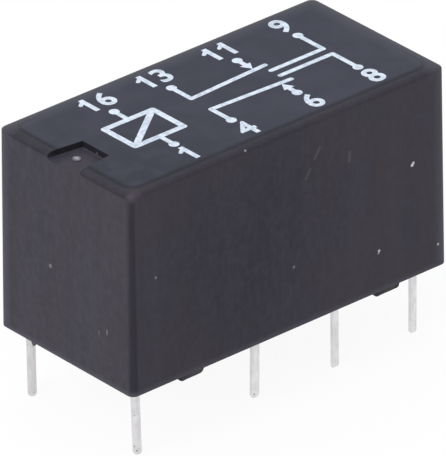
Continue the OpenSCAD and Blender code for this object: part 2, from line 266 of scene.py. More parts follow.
def addNode(tree, kind, inputs=()):
    # kind is a type of node, or one with its settings, and inputs fill its sockets by name or in their order:
    # an output or a whole node is linked, a hex value becomes a colour, and anything else is set as it is
    typeName, settings = (kind, {}) if isinstance(kind, str) else kind
    node = tree.nodes.new("ShaderNode" + typeName)
    for key, value in settings.items():
        setattr(node, key, value)
    if not isinstance(inputs, dict):
        inputs = dict(zip([i for i, socket in enumerate(node.inputs) if socket.enabled], inputs))
    for key, value in inputs.items():
        if isinstance(value, bpy.types.Node):
            value = next(output for output in value.outputs if output.enabled)
        if isinstance(value, bpy.types.NodeSocket):
            tree.links.new(value, node.inputs[key])
        else:
            node.inputs[key].default_value = linearColour(value) if isinstance(value, str) else value
    return node


# Types of node that are used most, each with its settings
absolute, root, plus, minus, times, larger, smaller, over, under = [
    ("Math", {"operation": name}) for name in
    ("ABSOLUTE", "SQRT", "ADD", "SUBTRACT", "MULTIPLY", "MAXIMUM", "MINIMUM", "GREATER_THAN", "LESS_THAN")]
minusClamped = ("Math", {"operation": "SUBTRACT", "use_clamp": True})
linear, smooth = [("MapRange", {"interpolation_type": name}) for name in ("LINEAR", "SMOOTHSTEP")]
apart = ("VectorMath", {"operation": "DISTANCE"})
mix = ("Mix", {"data_type": "RGBA"})
noise = ("TexNoise", {"noise_dimensions": "4D"})
midRange = (0.3, 0.7)        # from where to where a noise mostly runs


def joinNodes(tree, kind, values):
    # one node after another, each joining the next value to what came before
    result = values[0]
    for value in values[1:]:
        result = addNode(tree, kind, [result, value])
    return result


def blotches(tree, place, size, stretch=None, detail=2.0, rough=0.5, seed=0.0):
    # soft blotches of about the given size, drawn out by a stretch along each axis
    if stretch:
        place = addNode(tree, "Mapping", {"Vector": place, "Scale": [1 / s for s in stretch]})
    inputs = {"Vector": place, "Scale": 1 / (size * mm), "Detail": detail, "Roughness": rough, "W": seed}
    return addNode(tree, noise, inputs)


def mask(tree, *fades, factors=(), curve=smooth):
    # all fades and factors multiplied. A fade is a value, where it starts and where it is full, and after
    # these from what to what it goes, unless that is from 0 to 1
    layers = [addNode(tree, curve, [value, start * mm, full * mm, *ends])
              for value, start, full, *ends in fades]
    return joinNodes(tree, times, [*layers, *factors])


def spot(tree, place, centre, radius, strength=1.0, soft=0.5):
    # a small ball round a centre, fading at its rim
    away = addNode(tree, apart, [place, [c * mm for c in centre]])
    return mask(tree, (away, radius, radius * soft), factors=[strength])


def stroke(tree, axes, start, end, width, factors):
    # a fine line between two points of a face, whose axes are two outputs
    along = Vector([b - a for a, b in zip(start, end)])
    cosine, sine = along.normalized()
    u, v = [addNode(tree, minus, [axis, (a + b) / 2 * mm]) for axis, a, b in zip(axes, start, end)]
    distances = []
    for joining, first, second in ((plus, u, v), (minus, v, u)):
        parts = [addNode(tree, times, [first, cosine]), addNode(tree, times, [second, sine])]
        distances.append(addNode(tree, absolute, [addNode(tree, joining, parts)]))
    run, off = distances
    return mask(tree, (run, along.length / 2, along.length / 3), (off, width / 2, 0.0), factors=factors)


def emptyTree(owner):
    owner.use_nodes = True
    owner.node_tree.nodes.clear()
    return owner.node_tree


def startMaterial(name):
    material = bpy.data.materials.new(name)
    tree = emptyTree(material)
    return material, tree, addNode(tree, "TexCoord").outputs["Object"]


def finishMaterial(material, inputs, relief=None, depth=0.0):
    # inputs are those of the shader, and depth is that of the relief
    tree = material.node_tree
    if relief:
        inputs = {**inputs, "Normal": addNode(tree, "Bump", {"Distance": depth * mm, "Height": relief})}
    shader = addNode(tree, "BsdfPrincipled", inputs)
    addNode(tree, "OutputMaterial", {"Surface": shader})
    return material


# Shape of the cover, which its finish follows too
coverShape = {
    "draft": 0.078,           # draw-in of each side up to the top
    "uprightRadius": 0.36,
    "bevelWidth": 0.43,
    "bevelHeight": 0.19,
    "uprightSteps": 6,
    "bevelSteps": 7,
    "roofStep": 0.015,        # how far the roof stands above the bevel
    "roofShoulder": 0.12,     # and how wide its soft shoulder is
    "rimRadius": 0.05,
    "sideWall": 0.54,
    "endWall": 0.6,
    "roof": 0.8,
    "cavityRadius": 0.2,
    "notchLength": 2.1,
    "notchWidth": 1.96,       # at its inner end
    "notchFlare": 0.23,       # widening of each side up to the end of the cover
    "notchDepth": 0.38,
    "notchInnerRadius": 0.09,
    "notchLipRadius": 0.26,   # where the floor of the notch rolls over into the end wall
    "notchLipSteps": 5,
    "notchRimRadius": 0.045,
}
roofInset = coverShape["draft"] + coverShape["bevelWidth"]
shoulderZ = topZ - coverShape["bevelHeight"]
notchFloorZ = topZ - coverShape["notchDepth"]
notchEndX = coverShape["notchLength"] - halfLength
notchHalf = coverShape["notchWidth"] / 2
notchMouthHalf = notchHalf + coverShape["notchFlare"]

# Finish of the case. A range says where a fade starts and where it is full
caseLook = {
    "body": "#37333a",
    "cool": "#34333c",          # faintly cooler patches on it
    "worn": "#444049",          # lighter upright streaks
    "deep": "#292832",          # a darker middle of the long walls
    "roofShadedNear": "#282c37",      # painted light on the roof: a cooler tone than the walls, shaded at the near corner
    "roofLitFar": "#323541",
    "roofVeil": "#3f404c",
    "creaseShade": "#131216",        # painted shade: dark lines along the bevel and on the rounded upright edges
    "notch": "#1b1a1f",         # painted shade on the walls of the notch
    "cornerHighlight": "#4f4853",    # painted highlight on the near corner of the bevel, paler and warmer
    "edgeSheen": "#5c5d66",        # painted sheen, a paler reflection along the rear and contact-end edges, and along the rim
    "dust": "#c9cbd1",
    "shader": {"IOR": 1.55, "Specular IOR Level": 0.1},
    "roughness": (0.46, 0.55),
    "patches": {"size": 2.4, "stretch": (1, 1, 1.8), "seed": 2.0},
    "patchRange": (0.45, 0.68),
    "deepSpot": (-2.4, 9.5, 8.0, 0.95),     # x, z, radius, strength
    "deepCore": 0.2,            # share of that radius at full strength
    "roofSlant": 0.9,           # how much the roof's painted shading runs along Y, where X counts 1
    "roofRange": (-13, -1),     # of X and that share of Y
    "veil": {"size": 1.3, "seed": 23.0},
    "veilRange": (0.42, 0.66, 0.0, 0.4),    # of the noise, and of the share of veil it makes
    "unevenness": (             # noises that make up the wear, each with its share
        (0.32, {"size": 0.22, "stretch": (1, 1, 3.6), "detail": 3.0, "seed": 5.0}),
        (0.44, {"size": 0.4, "detail": 3.0, "rough": 0.6, "seed": 17.0}),
        (0.24, {"size": 1.1, "stretch": (1, 1, 9.0), "detail": 1.0, "seed": 19.0})),
    "wearRange": (0.38, 0.64),
    "wear": 0.62,               # strongest share of the lighter streaks
    "longWallContrast": 0.62,   # the long walls are more even than the ends
    "roofWear": 0.4,            # share of the wear that the roof has
    "cornerRange": (0.4, 0.2),  # how far in from a wall one wall's look gives way to the next one's
    # real spark-eroded grain is about 0.03 mm, drawn coarser so that it shows
    "grain": {"size": 0.09, "rough": 0.6, "seed": 1.0},
    "grainDepth": 0.0035,
    "roofEdge": (0.12, 0.0),    # past the outline of the roof
    "roofLevel": (0.06, 0.03),  # below the top
    # painted shade along the creases: lines along the inner and the lower edge of the bevel, and on the bevel
    # itself
    "creaseBend": 0.75,         # radius of the corners of the inner line
    "creaseShift": -0.1,
    "creaseWidth": 0.26,
    "creaseStrength": 0.62,
    "creaseLevel": (0.12, 0.03),        # below the top
    "lowerWidth": 0.15,
    "lowerStrength": 0.5,
    "lowerFrontShare": 0.45,    # how much of the lower line shows on the long walls
    "lowerStart": 0.25,         # past the outline of the roof
    "bevelStrength": (0.2, 0.34),       # along the long walls and the ends
    "bevelTurn": (0.7, 0.4),            # from the ends, where one turns to the other
    "bevelEdge": (0.0, 0.1),
    "bevelLevel": (0.0, -0.05),         # below the foot of the bevel
    "creaseX": (-6, -9),                # the painted crease shade shows at the coil end and on the near half
    "creaseY": (1, -4),
    # painted shade on the upright edges
    "uprightInset": (0.4, 0.276),       # from the ends and the long walls
    "uprightRange": (-0.05, 0.12),
    "uprightStrength": 0.45,
    # painted sheen on edges: those of the roof, the uprights beside them and the rim
    "sheenWidth": 0.72,
    "rimSheenWidth": 0.36,
    "sheenInset": 0.14,
    "roofSheen": 0.28,
    "uprightSheen": 0.52,
    "rimSheen": 0.42,
    # painted shade on the walls of the notch: margins round it, levels below its floor and the top, where
    # minus is above, and the fade in from its mouth
    "notchMargin": (0.01, 0.02),
    "notchFloorLevel": (-0.02, -0.1),
    "notchTopLevel": (0.005, 0.03),
    "notchMouth": (-0.05, -0.5),
    "notchStrength": (0.225, 0.9),
    # dust flecks on the front, the edge above it, the coil end and the notch: x, y, z, radius, brightness
    "flecks": ((7.87, -4.88, 10.12, 0.12, 1.0), (7.94, -4.88, 10.21, 0.1, 0.9), (5.68, -4.9, 6.19, 0.1, 0.9),
               (5.64, -4.9, 6.07, 0.06, 0.6), (9.51, -4.9, 5.16, 0.09, 0.6), (0.21, -4.9, 7.32, 0.1, 0.22),
               (-8.5, -4.88, 9.95, 0.09, 0.25), (-2.73, -4.8, 14.71, 0.08, 0.4),
               (-10.06, 1.08, 8.72, 0.14, 0.2), (-9.97, -4.84, 11.62, 0.09, 0.3),
               (-8.0, -0.08, 14.59, 0.08, 0.12)),
    # painted highlight spots on the near corner: x, y, z, radius, strength, and the share of the radius at
    # full strength
    "cornerHighlightSpots": ((-9.85, -4.76, 14.72, 0.42, 0.6), (-9.55, -4.7, 14.8, 0.55, 0.35)),
    "cornerHighlightCore": 0.1,
    # scratches: both ends on the axes of their face, width, brightness
    "endScratches": ((-3.08, 6.98, -3.08, 6.62, 0.16, 0.2), (-2.5, 6.7, -2.5, 6.4, 0.15, 0.1)),
    "frontScratches": ((2.03, 13.32, 1.54, 12.62, 0.3, 0.05), (1.41, 12.38, 0.97, 11.71, 0.28, 0.05),
                       (3.88, 12.4, 3.8, 11.67, 0.28, 0.055)),
    # the parts of one curved scratch
    "roofScratches": ((6.8, 4.2, 6.7, 3.8, 0.09, 0.3), (6.7, 3.85, 6.77, 3.5, 0.08, 0.25),
                      (6.9, 3.58, 7.2, 3.32, 0.1, 0.45)),
    "endX": -9.9,               # a scratch on the end wall lies beyond this
    "frontY": -4.6,
}


def inFrom(edge, distances):
    return [edge - distance for distance in distances]


def pastRoof(tree, beyondX, beyondY):
    # distance past the outline of the flat roof, whose corners are round
    bend = caseLook["creaseBend"]
    squares = []
    for beyond, half in ((beyondX, halfLength), (beyondY, halfWidth)):
        off = addNode(tree, larger, [addNode(tree, minus, [beyond, (half - roofInset - bend) * mm]), 0.0])
        squares.append(addNode(tree, times, [off, off]))
    return addNode(tree, minus, [addNode(tree, root, [joinNodes(tree, plus, squares)]), bend * mm])


def caseColour(tree, place, x, y, onRoof):
    # the moulded skin before its edges are marked: patches on the walls, and the roof in a cooler tone of
    # painted light, shaded towards the near corner
    look = caseLook
    cloud = addNode(tree, smooth, [blotches(tree, place, **look["patches"]), *look["patchRange"]])
    body = addNode(tree, mix, [cloud, look["body"], look["cool"]])
    deepX, deepZ, radius, strength = look["deepSpot"]
    for side in sides.values():
        deep = spot(tree, place, (deepX, side * halfWidth, deepZ), radius, strength, look["deepCore"])
        body = addNode(tree, mix, [deep, body, look["deep"]])
    # painted light on the roof: darker at the near corner and lighter away from it
    away = addNode(tree, plus, [x, addNode(tree, times, [y, look["roofSlant"]])])
    roof = addNode(tree, mix, [mask(tree, (away, *look["roofRange"])), look["roofShadedNear"], look["roofLitFar"]])
    veil = addNode(tree, smooth, [blotches(tree, place, **look["veil"]), *look["veilRange"]])
    roof = addNode(tree, mix, [veil, roof, look["roofVeil"]])
    return addNode(tree, mix, [onRoof, body, roof])


def caseWear(tree, uneven, beyondY, onRoof):
    # share of the lighter streaks, strongest on the ends and weakest on the roof
    look = caseLook
    swing = look["wear"] / 2
    streaks = addNode(tree, smooth, [uneven, *look["wearRange"], -swing, swing])
    streaks = mask(tree, (beyondY, *inFrom(halfWidth, look["cornerRange"]), 1.0, look["longWallContrast"]),
                   factors=[streaks])
    share = addNode(tree, smooth, [onRoof, 0.0, 1.0, 1.0, look["roofWear"]])
    return addNode(tree, times, [addNode(tree, plus, [streaks, swing]), share])


def caseCreaseShade(tree, x, y, z, beyondX, past):
    # painted shade in lines along the edges of the bevel and on the bevel itself
    look = caseLook
    offInner = addNode(tree, absolute, [addNode(tree, minus, [past, look["creaseShift"] * mm])])
    offLower = addNode(tree, absolute, [addNode(tree, minus, [z, shoulderZ * mm])])
    inner = mask(tree, (offInner, look["creaseWidth"], 0.0), (z, *inFrom(topZ, look["creaseLevel"])),
                 factors=[look["creaseStrength"]])
    lower = mask(tree, (offLower, look["lowerWidth"], 0.0),
                 (beyondX, *inFrom(halfLength, look["cornerRange"]), look["lowerFrontShare"], 1.0),
                 factors=[addNode(tree, over, [past, look["lowerStart"] * mm]), look["lowerStrength"]])
    bevel = mask(tree, (past, *look["bevelEdge"]), (z, *inFrom(shoulderZ, look["bevelLevel"])),
                 (beyondX, *inFrom(halfLength, look["bevelTurn"]), *look["bevelStrength"]))
    shown = addNode(tree, larger, [mask(tree, (x, *look["creaseX"])), mask(tree, (y, *look["creaseY"]))])
    return addNode(tree, times, [joinNodes(tree, larger, [inner, lower, bevel]), shown])


def caseUprightShade(tree, beyondX, beyondY):
    # painted shade darkening the rounded upright edges
    look = caseLook
    insetX, insetY = look["uprightInset"]
    corner = addNode(tree, smaller, [addNode(tree, minus, [beyondX, (halfLength - insetX) * mm]),
                                     addNode(tree, minus, [beyondY, (halfWidth - insetY) * mm])])
    return mask(tree, (corner, *look["uprightRange"]), factors=[look["uprightStrength"]])


def caseEdgeSheen(tree, x, y, z, beyondX, beyondY):
    # painted sheen: paler edges of the roof, the uprights beside them and the rim
    look = caseLook
    width = look["sheenWidth"]
    cornerX, cornerY = halfLength - look["sheenInset"], halfWidth - look["sheenInset"]
    onEnd, onSide, toTop, alongX, alongY, besideX, besideY = [
        mask(tree, (value, edge - width, edge), curve=linear) for value, edge in
        ((x, halfLength - roofInset), (y, halfWidth - roofInset), (z, shoulderZ),
         (x, cornerX), (y, cornerY), (beyondX, cornerX), (beyondY, cornerY))]
    roof = joinNodes(tree, times, [addNode(tree, larger, [onEnd, onSide]), toTop, look["roofSheen"]])
    uprights = addNode(tree, larger, [addNode(tree, smaller, [alongX, besideY]),
                                      addNode(tree, smaller, [alongY, besideX])])
    uprights = addNode(tree, times, [uprights, look["uprightSheen"]])
    rim = mask(tree, (z, rimZ + look["rimSheenWidth"], rimZ, 0.0, look["rimSheen"]), curve=linear)
    return joinNodes(tree, larger, [roof, uprights, rim])


def caseNotchShade(tree, x, z, beyondY):
    # painted shade on the walls of the notch, fading in from its mouth
    look = caseLook
    marginX, marginY = look["notchMargin"]
    return mask(tree, (z, *inFrom(notchFloorZ, look["notchFloorLevel"])),
                (z, *inFrom(topZ, look["notchTopLevel"])),
                (x, *inFrom(-halfLength, look["notchMouth"]), *look["notchStrength"]),
                factors=[addNode(tree, under, [beyondY, (notchMouthHalf + marginY) * mm]),
                         addNode(tree, under, [x, (notchEndX + marginX) * mm])])


def caseMarks(tree, place, x, y, z, onRoof):
    look = caseLook
    marks = [spot(tree, place, fleck[:3], *fleck[3:]) for fleck in look["flecks"]]
    onEnd = addNode(tree, under, [x, look["endX"] * mm])
    onFront = addNode(tree, under, [y, look["frontY"] * mm])
    for name, axes, where in (("endScratches", (y, z), onEnd), ("frontScratches", (x, z), onFront),
                              ("roofScratches", (x, y), onRoof)):
        for *ends, width, bright in look[name]:
            marks.append(stroke(tree, axes, ends[:2], ends[2:], width, [where, bright]))
    return joinNodes(tree, larger, marks)


def casePlastic():
    # Injection-moulded glass-filled PBT: near black and matt, with a soft grey veil and faint cool patches,
    # painted shade, sheen and a highlight on its edges, and painted light on its roof
    look = caseLook
    material, tree, place = startMaterial("glassFilledPbtMoulded")
    x, y, z = addNode(tree, "SeparateXYZ", [place]).outputs
    beyondX, beyondY = [addNode(tree, absolute, [axis]) for axis in (x, y)]
    past = pastRoof(tree, beyondX, beyondY)
    onRoof = mask(tree, (z, *inFrom(topZ, look["roofLevel"])), (past, *look["roofEdge"]))
    uneven = joinNodes(tree, plus, [addNode(tree, times, [blotches(tree, place, **layer), share])
                                    for share, layer in look["unevenness"]])
    sheenShare = caseEdgeSheen(tree, x, y, z, beyondX, beyondY)
    # painted shade along the creases of the bevel and on the upright edges
    edgeShade = addNode(tree, larger,
                      [caseCreaseShade(tree, x, y, z, beyondX, past), caseUprightShade(tree, beyondX, beyondY)])
    # each layer of colour lies on the ones before
    layers = [(caseWear(tree, uneven, beyondY, onRoof), "worn"),
              (addNode(tree, minusClamped, [edgeShade, sheenShare]), "creaseShade"),
              (sheenShare, "edgeSheen"),
              (caseNotchShade(tree, x, z, beyondY), "notch")]
    # painted highlight on the near corner of the bevel
    for worn in look["cornerHighlightSpots"]:
        layers.append((spot(tree, place, worn[:3], *worn[3:], look["cornerHighlightCore"]), "cornerHighlight"))
    layers.append((caseMarks(tree, place, x, y, z, onRoof), "dust"))
    colour = caseColour(tree, place, x, y, onRoof)
    for share, name in layers:
        colour = addNode(tree, mix, [share, colour, look[name]])
    rough = addNode(tree, smooth, [uneven, *midRange, *look["roughness"]])
    inputs = {**look["shader"], "Base Color": colour, "Roughness": rough}
    return finishMaterial(material, inputs, blotches(tree, place, **look["grain"]), look["grainDepth"])


tinLook = {
    "low": "#d5d3d5",
    "high": "#e8e6e8",
    # colour of the burnt specks, and of the painted shade on the rear coil pin
    "speckAndShade": "#5d5856",
    "shader": {"Metallic": 1.0},
    # real drawing lines are about 0.02 mm wide, drawn coarser so that they show
    "lines": {"size": 0.07, "stretch": (1, 1, 14), "detail": 3.0, "seed": 6.0},
    "cloud": {"size": 0.5, "seed": 8.0},
    "linesShare": 0.5,
    "toneRange": (0.35, 0.65),
    "roughness": (0.3, 0.44),
    "relief": 0.003,
    # burnt specks near the tips of the pins, and last a wide faint painted shade on the rear coil pin:
    # x, y, z, radius, strength
    "specksAndShade": ((-9.14, -3.92, 2.25, 0.06, 0.6), (-9.16, -3.86, 0.5, 0.06, 0.8),
               (-9.06, -3.97, 0.28, 0.06, 0.8), (-8.98, -4.0, 0.4, 0.045, 0.6),
               (-1.48, -3.85, 0.46, 0.07, 0.7), (-9.13, 3.8, 0.55, 0.07, 0.8),
               (-9.07, 3.74, 0.28, 0.07, 0.9), (-9.2, 3.92, 0.3, 0.05, 0.7),
               (-9.24, 3.92, 2.9, 0.07, 0.5), (-8.95, 3.85, 1.9, 2.8, 0.14)),
}


def tinPlate():
    # Copper alloy with matt tin: pale warm grey metal with fine lengthwise drawing lines, a few specks and a
    # faint painted shade on the rear coil pin
    look = tinLook
    material, tree, place = startMaterial("tinPlatedCopperAlloy")
    lines = blotches(tree, place, **look["lines"])
    cloud = blotches(tree, place, **look["cloud"])
    tone = addNode(tree, plus, [addNode(tree, times, [lines, look["linesShare"]]),
                                addNode(tree, times, [cloud, 1 - look["linesShare"]])])
    plate = addNode(tree, smooth, [tone, *look["toneRange"]])
    plate = addNode(tree, mix, [plate, look["low"], look["high"]])
    # burnt specks, and a painted shade on the rear coil pin
    specksAndShade = joinNodes(tree, larger, [spot(tree, place, speckAndShade[:3], *speckAndShade[3:]) for speckAndShade in look["specksAndShade"]])
    plate = addNode(tree, mix, [specksAndShade, plate, look["speckAndShade"]])
    rough = addNode(tree, smooth, [tone, *midRange, *look["roughness"]])
    inputs = {**look["shader"], "Base Color": plate, "Roughness": rough}
    return finishMaterial(material, inputs, lines, look["relief"])


resinLook = {
    "low": "#141316",
    "high": "#201f23",
    "shader": {"IOR": 1.53, "Roughness": 0.12},
    "waves": {"size": 1.6, "seed": 4.0},
    "pinholes": {"size": 0.22, "detail": 0.0, "seed": 21.0},
    "pinholeRange": (0.74, 0.8),
    "pinholeDepth": 2.0,      # where the waves are 1
    "relief": 0.02,
}


def castResin():
    # Poured black epoxy: glossy, with slow waves in its skin and a few pinholes
    look = resinLook
    material, tree, place = startMaterial("castEpoxyBlack")
    waves = blotches(tree, place, **look["waves"])
    holes = addNode(tree, smooth, [blotches(tree, place, **look["pinholes"]), *look["pinholeRange"]])
    holes = addNode(tree, times, [holes, look["pinholeDepth"]])
    colour = addNode(tree, mix, [waves, look["low"], look["high"]])
    inputs = {**look["shader"], "Base Color": colour}
    return finishMaterial(material, inputs, addNode(tree, minus, [waves, holes]), look["relief"])


ventShape = {
    "x": -8.94, "y": 0.3,
    "radius": 0.25, "height": 0.07, "unevenness": 0.07,
    "waist": 0.06,            # points this near to the level of its middle are pushed about
    "segments": 16, "rings": 10, "seed": 4,
}
ventLook = {
    "thin": "#48464b",
    "thick": "#a5a3a7",
    "shader": {"IOR": 1.5, "Roughness": 0.7, "Specular IOR Level": 0.2},
    "cloud": {"size": 0.14, "seed": 16.0},
    "cloudRange": (0.3, 0.6, 0.6, 1.0),     # of the noise, and of the share of thick lacquer it makes
    "reach": 1.15,            # of the thick part, in radii of the drop
    "core": 0.1,
    "relief": 0.006,
}


def ventSealant():
    # Dried drop of grey sealing lacquer: chalky where it is thick, thinning out to the dark case at its rim
    shape, look = ventShape, ventLook
    material, tree, place = startMaterial("driedSealingLacquer")
    cloud = blotches(tree, place, **look["cloud"])
    thick = spot(tree, place, (shape["x"], shape["y"], notchFloorZ), shape["radius"] * look["reach"],
                 addNode(tree, smooth, [cloud, *look["cloudRange"]]), look["core"])
    colour = addNode(tree, mix, [thick, look["thin"], look["thick"]])
    inputs = {**look["shader"], "Base Color": colour}
    return finishMaterial(material, inputs, cloud, look["relief"])


# Finishes that shade between two colours over one noise, which most follow in roughness and relief too.
# Real rolling lines are about 0.02 mm wide and moulded grain 0.03 mm, drawn coarser so that they show
plainLooks = {
    # the compound of the cover, moulded in a polished tool: a little darker and smoother
    "glassFilledPbtBase": {
        "shader": {"IOR": 1.55, "Specular IOR Level": 0.2}, "colours": ("#26242a", "#333137"),
        "noise": {"size": 1.1, "detail": 3.0, "seed": 7.0}, "roughness": (0.36, 0.46),
        "grain": {"size": 0.08, "seed": 3.0}, "relief": 0.003},
    # soft iron under bright nickel: warm grey, satin, with faint rolling marks
    "nickelPlatedIron": {
        "shader": {"Metallic": 1.0}, "colours": ("#a9a59c", "#c9c5bb"),
        "noise": {"size": 0.09, "stretch": (8, 1, 8), "seed": 9.0}, "roughness": (0.22, 0.38),
        "relief": 0.003},
    # rolled phosphor bronze strip: reddish gold, bright, with lengthwise rolling lines
    "phosphorBronzeStrip": {
        "shader": {"Metallic": 1.0}, "colours": ("#b98652", "#d3a26b"),
        "noise": {"size": 0.05, "stretch": (16, 1, 1), "seed": 11.0}, "roughness": (0.2, 0.34),
        "relief": 0.002},
    # burnished silver alloy rivets: white metal, bright, with a thin grey tarnish
    "silverAlloyRivet": {
        "shader": {"Metallic": 1.0}, "colours": ("#c9c7c0", "#efeee9"),
        "noise": {"size": 0.35, "detail": 3.0, "seed": 12.0}, "roughness": (0.12, 0.3)},
    # natural liquid-crystal polymer: ivory, satin, with pale flow lines
    "naturalPolymerMoulded": {
        "shader": {"IOR": 1.6, "Roughness": 0.45}, "colours": ("#cfc6ae", "#e0d9c4"),
        "noise": {"size": 0.6, "stretch": (3, 1, 1), "detail": 3.0, "seed": 13.0}, "relief": 0.006},
    # copper wire under clear enamel: deep reddish orange with a coat that glints along each turn
    "enamelledCopperWire": {
        "shader": {"Metallic": 0.85, "Roughness": 0.3, "Coat Weight": 0.6, "Coat Roughness": 0.1},
        "colours": ("#8e4421", "#b9602f"), "noise": {"size": 0.4, "seed": 14.0}},
    # pad-printed white ink: bluish white and matt, thinner in places so that the case greys it
    "padPrintInk": {
        "shader": {"IOR": 1.5, "Roughness": 0.55}, "colours": ("#bcc8d6", "#d9e3ee"), "range": (0.35, 0.6),
        "noise": {"size": 0.28, "detail": 3.0, "seed": 15.0}, "relief": 0.004},
}


def plainFinish(name):
    look = plainLooks[name]
    material, tree, place = startMaterial(name)
    cloud = blotches(tree, place, **look["noise"])
    tone = addNode(tree, smooth, [cloud, *look["range"]]) if "range" in look else cloud
    inputs = {**look["shader"], "Base Color": addNode(tree, mix, [tone, *look["colours"]])}
    if "roughness" in look:
        inputs["Roughness"] = addNode(tree, smooth, [cloud, *midRange, *look["roughness"]])
    if "relief" not in look:
        return finishMaterial(material, inputs)
    relief = blotches(tree, place, **look["grain"]) if "grain" in look else cloud
    return finishMaterial(material, inputs, relief, look["relief"])


finish = {
    "case_plastic": casePlastic(),
    "base_plastic": plainFinish("glassFilledPbtBase"),
    "resin": castResin(),
    "bobbin_plastic": plainFinish("naturalPolymerMoulded"),
    "enamelled_wire": plainFinish("enamelledCopperWire"),
    "nickel_plated_iron": plainFinish("nickelPlatedIron"),
    "tinned_copper": tinPlate(),
    "spring_bronze": plainFinish("phosphorBronzeStrip"),
    "contact_silver": plainFinish("silverAlloyRivet"),
}
inkFinish = plainFinish("padPrintInk")
sealFinish = ventSealant()
slotOf = {part["node"]: part["material_slot"] for part in frame["record"]["subparts"]}
bodyOf = {node: body for body, nodes in frame["record"]["behaviour"]["bodies"].items() for node in nodes}
print("materials made:", len(bpy.data.materials))

for nodeName, node in frame["nodes"].items():
    node.data.materials.clear()
    node.data.materials.append(finish[slotOf[nodeName]])


# Cover, a moulded box open below, with a bevelled top and a notch in its roof at the coil end

def raiseRoof(cover):
    # draws the top face in and up in small steps, along a quarter of an ellipse, and then straight up
    shape = coverShape
    rise = shape["bevelHeight"] - shape["roofStep"]
    stations = [(0.0, shoulderZ)]
    for i in range(1, shape["bevelSteps"] + 1):
        angle = math.radians(90 * i / shape["bevelSteps"])
        stations.append((shape["bevelWidth"] * (1 - math.cos(angle)), shoulderZ + rise * math.sin(angle)))
    stations.append((shape["bevelWidth"] + shape["roofShoulder"], topZ))
    halfX, halfY = halfLength - shape["draft"], halfWidth - shape["draft"]
    for (insetBefore, before), (inset, after) in zip(stations, stations[1:]):
        selectParts(cover, "FACE", lambda middle, normal: normal.z > facing and middle.z > before - hair)
        bpy.ops.mesh.extrude_region_move(TRANSFORM_OT_translate={"value": (0, 0, (after - before) * mm)})
        resizeAbout(((halfX - inset) / (halfX - insetBefore), (halfY - inset) / (halfY - insetBefore), 1))


def makeNotchCutter():
    shape = coverShape
    notch = addBox("notch", (-halfLength - overshoot, -notchHalf, notchFloorZ),
                   (notchEndX, notchHalf, topZ + overshoot))
    editMode(notch)
    selectParts(notch, "FACE", lambda middle, normal: normal.x < -facing)
    outer = notchHalf + shape["notchFlare"] * (shape["notchLength"] + overshoot) / shape["notchLength"]
    resizeAbout((1, outer / notchHalf, 1))
    return roundPiece(notch, lambda a, b: max(a.z, b.z) < notchFloorZ + near
                      and max(a.x, b.x) > notchEndX - near, shape["notchInnerRadius"])


burrShape = {
    "inset": 0.04,            # of its outer face from the end of the cover
    "y": 2.53, "width": 0.32, "drop": 0.24, "thickness": 0.3, "weld": 0.1,
    "tip": (0.4, 0.2, 1),     # share of its size that is left at the tip
    "tipShift": (0.06, 0.02),
    "radius": 0.02,
}


def makeBurr():
    # a spike of flash that the mould left under the end wall
    shape = burrShape
    x, y, half = shape["inset"] - halfLength, shape["y"], shape["width"] / 2
    burr = addBox("burr", (x, y - half, rimZ - shape["drop"]),
                  (x + shape["thickness"], y + half, rimZ + shape["weld"]))
    editMode(burr)
    selectParts(burr, "FACE", lambda middle, normal: normal.z < -facing)
    resizeAbout(shape["tip"], (x + shape["tipShift"][0], y + shape["tipShift"][1], 0))
    return roundPiece(burr, lambda a, b: max(a.z, b.z) < rimZ, shape["radius"], softSteps)


def makeCover():
    shape = coverShape
    draft = shape["draft"]
    cover = addBox("cover_moulding", (-halfLength, -halfWidth, rimZ), (halfLength, halfWidth, shoulderZ))
    editMode(cover)
    selectParts(cover, "FACE", lambda middle, normal: normal.z > facing)
    resizeAbout((1 - draft / halfLength, 1 - draft / halfWidth, 1))
    roundEdges(cover, uprightEdge, shape["uprightRadius"], shape["uprightSteps"])
    raiseRoof(cover)
    objectMode()

    innerX, innerY = halfLength - shape["endWall"], halfWidth - shape["sideWall"]
    cavity = addBox("cavity", (-innerX, -innerY, rimZ - overshoot), (innerX, innerY, topZ - shape["roof"]))
    combine(cover, "DIFFERENCE", roundPiece(cavity, uprightEdge, shape["cavityRadius"]))
    combine(cover, "DIFFERENCE", makeNotchCutter())

    editMode(cover)
    roundEdges(cover, lambda a, b: max(a.x, b.x) < draft - halfLength + near and abs(a.y - b.y) > longEdge
               and max(abs(a.z - notchFloorZ), abs(b.z - notchFloorZ)) < near,
               shape["notchLipRadius"], shape["notchLipSteps"])
    roundEdges(cover, lambda a, b: min(a.z, b.z) > topZ - hair and max(a.x, b.x) < notchEndX + near
               and max(abs(a.y), abs(b.y)) < notchMouthHalf + near,
               shape["notchRimRadius"], softSteps, sharp)
    roundEdges(cover, lambda a, b: max(a.z, b.z) < rimZ + near, shape["rimRadius"], softSteps, sharp)
    turnOutwards()
    objectMode()
    combine(cover, "UNION", makeBurr())
    smoothFinish(cover, "moulded")
    dress(cover, finish["case_plastic"], "housing", "case_plastic", "cover")


def makeDrop(name, shape, centre):
    # a flattened ball whose points near the level of its middle are pushed about, and then smoothed
    drop = addBall(name, shape["radius"], centre, shape["segments"], shape["rings"])
    editMode(drop)
    selectAll()
    resizeAbout((1, 1, shape["height"] / shape["radius"]), (0, 0, centre[2]))
    selectParts(drop, "VERT", lambda place: abs(place.z - centre[2]) < shape["waist"])
    bpy.ops.transform.vertex_random(offset=shape["unevenness"] * mm, seed=shape["seed"])
    objectMode()
    addModifier(drop, "SUBSURF", {"levels": 1, "render_levels": 1})
    smoothFinish(drop, "drop")
    return drop


def makeVentSeal():
    # an uneven drop of lacquer on the floor of the notch
    drop = makeDrop("vent_seal", ventShape, (ventShape["x"], ventShape["y"], notchFloorZ))
    dress(drop, sealFinish, "housing", "case_plastic")


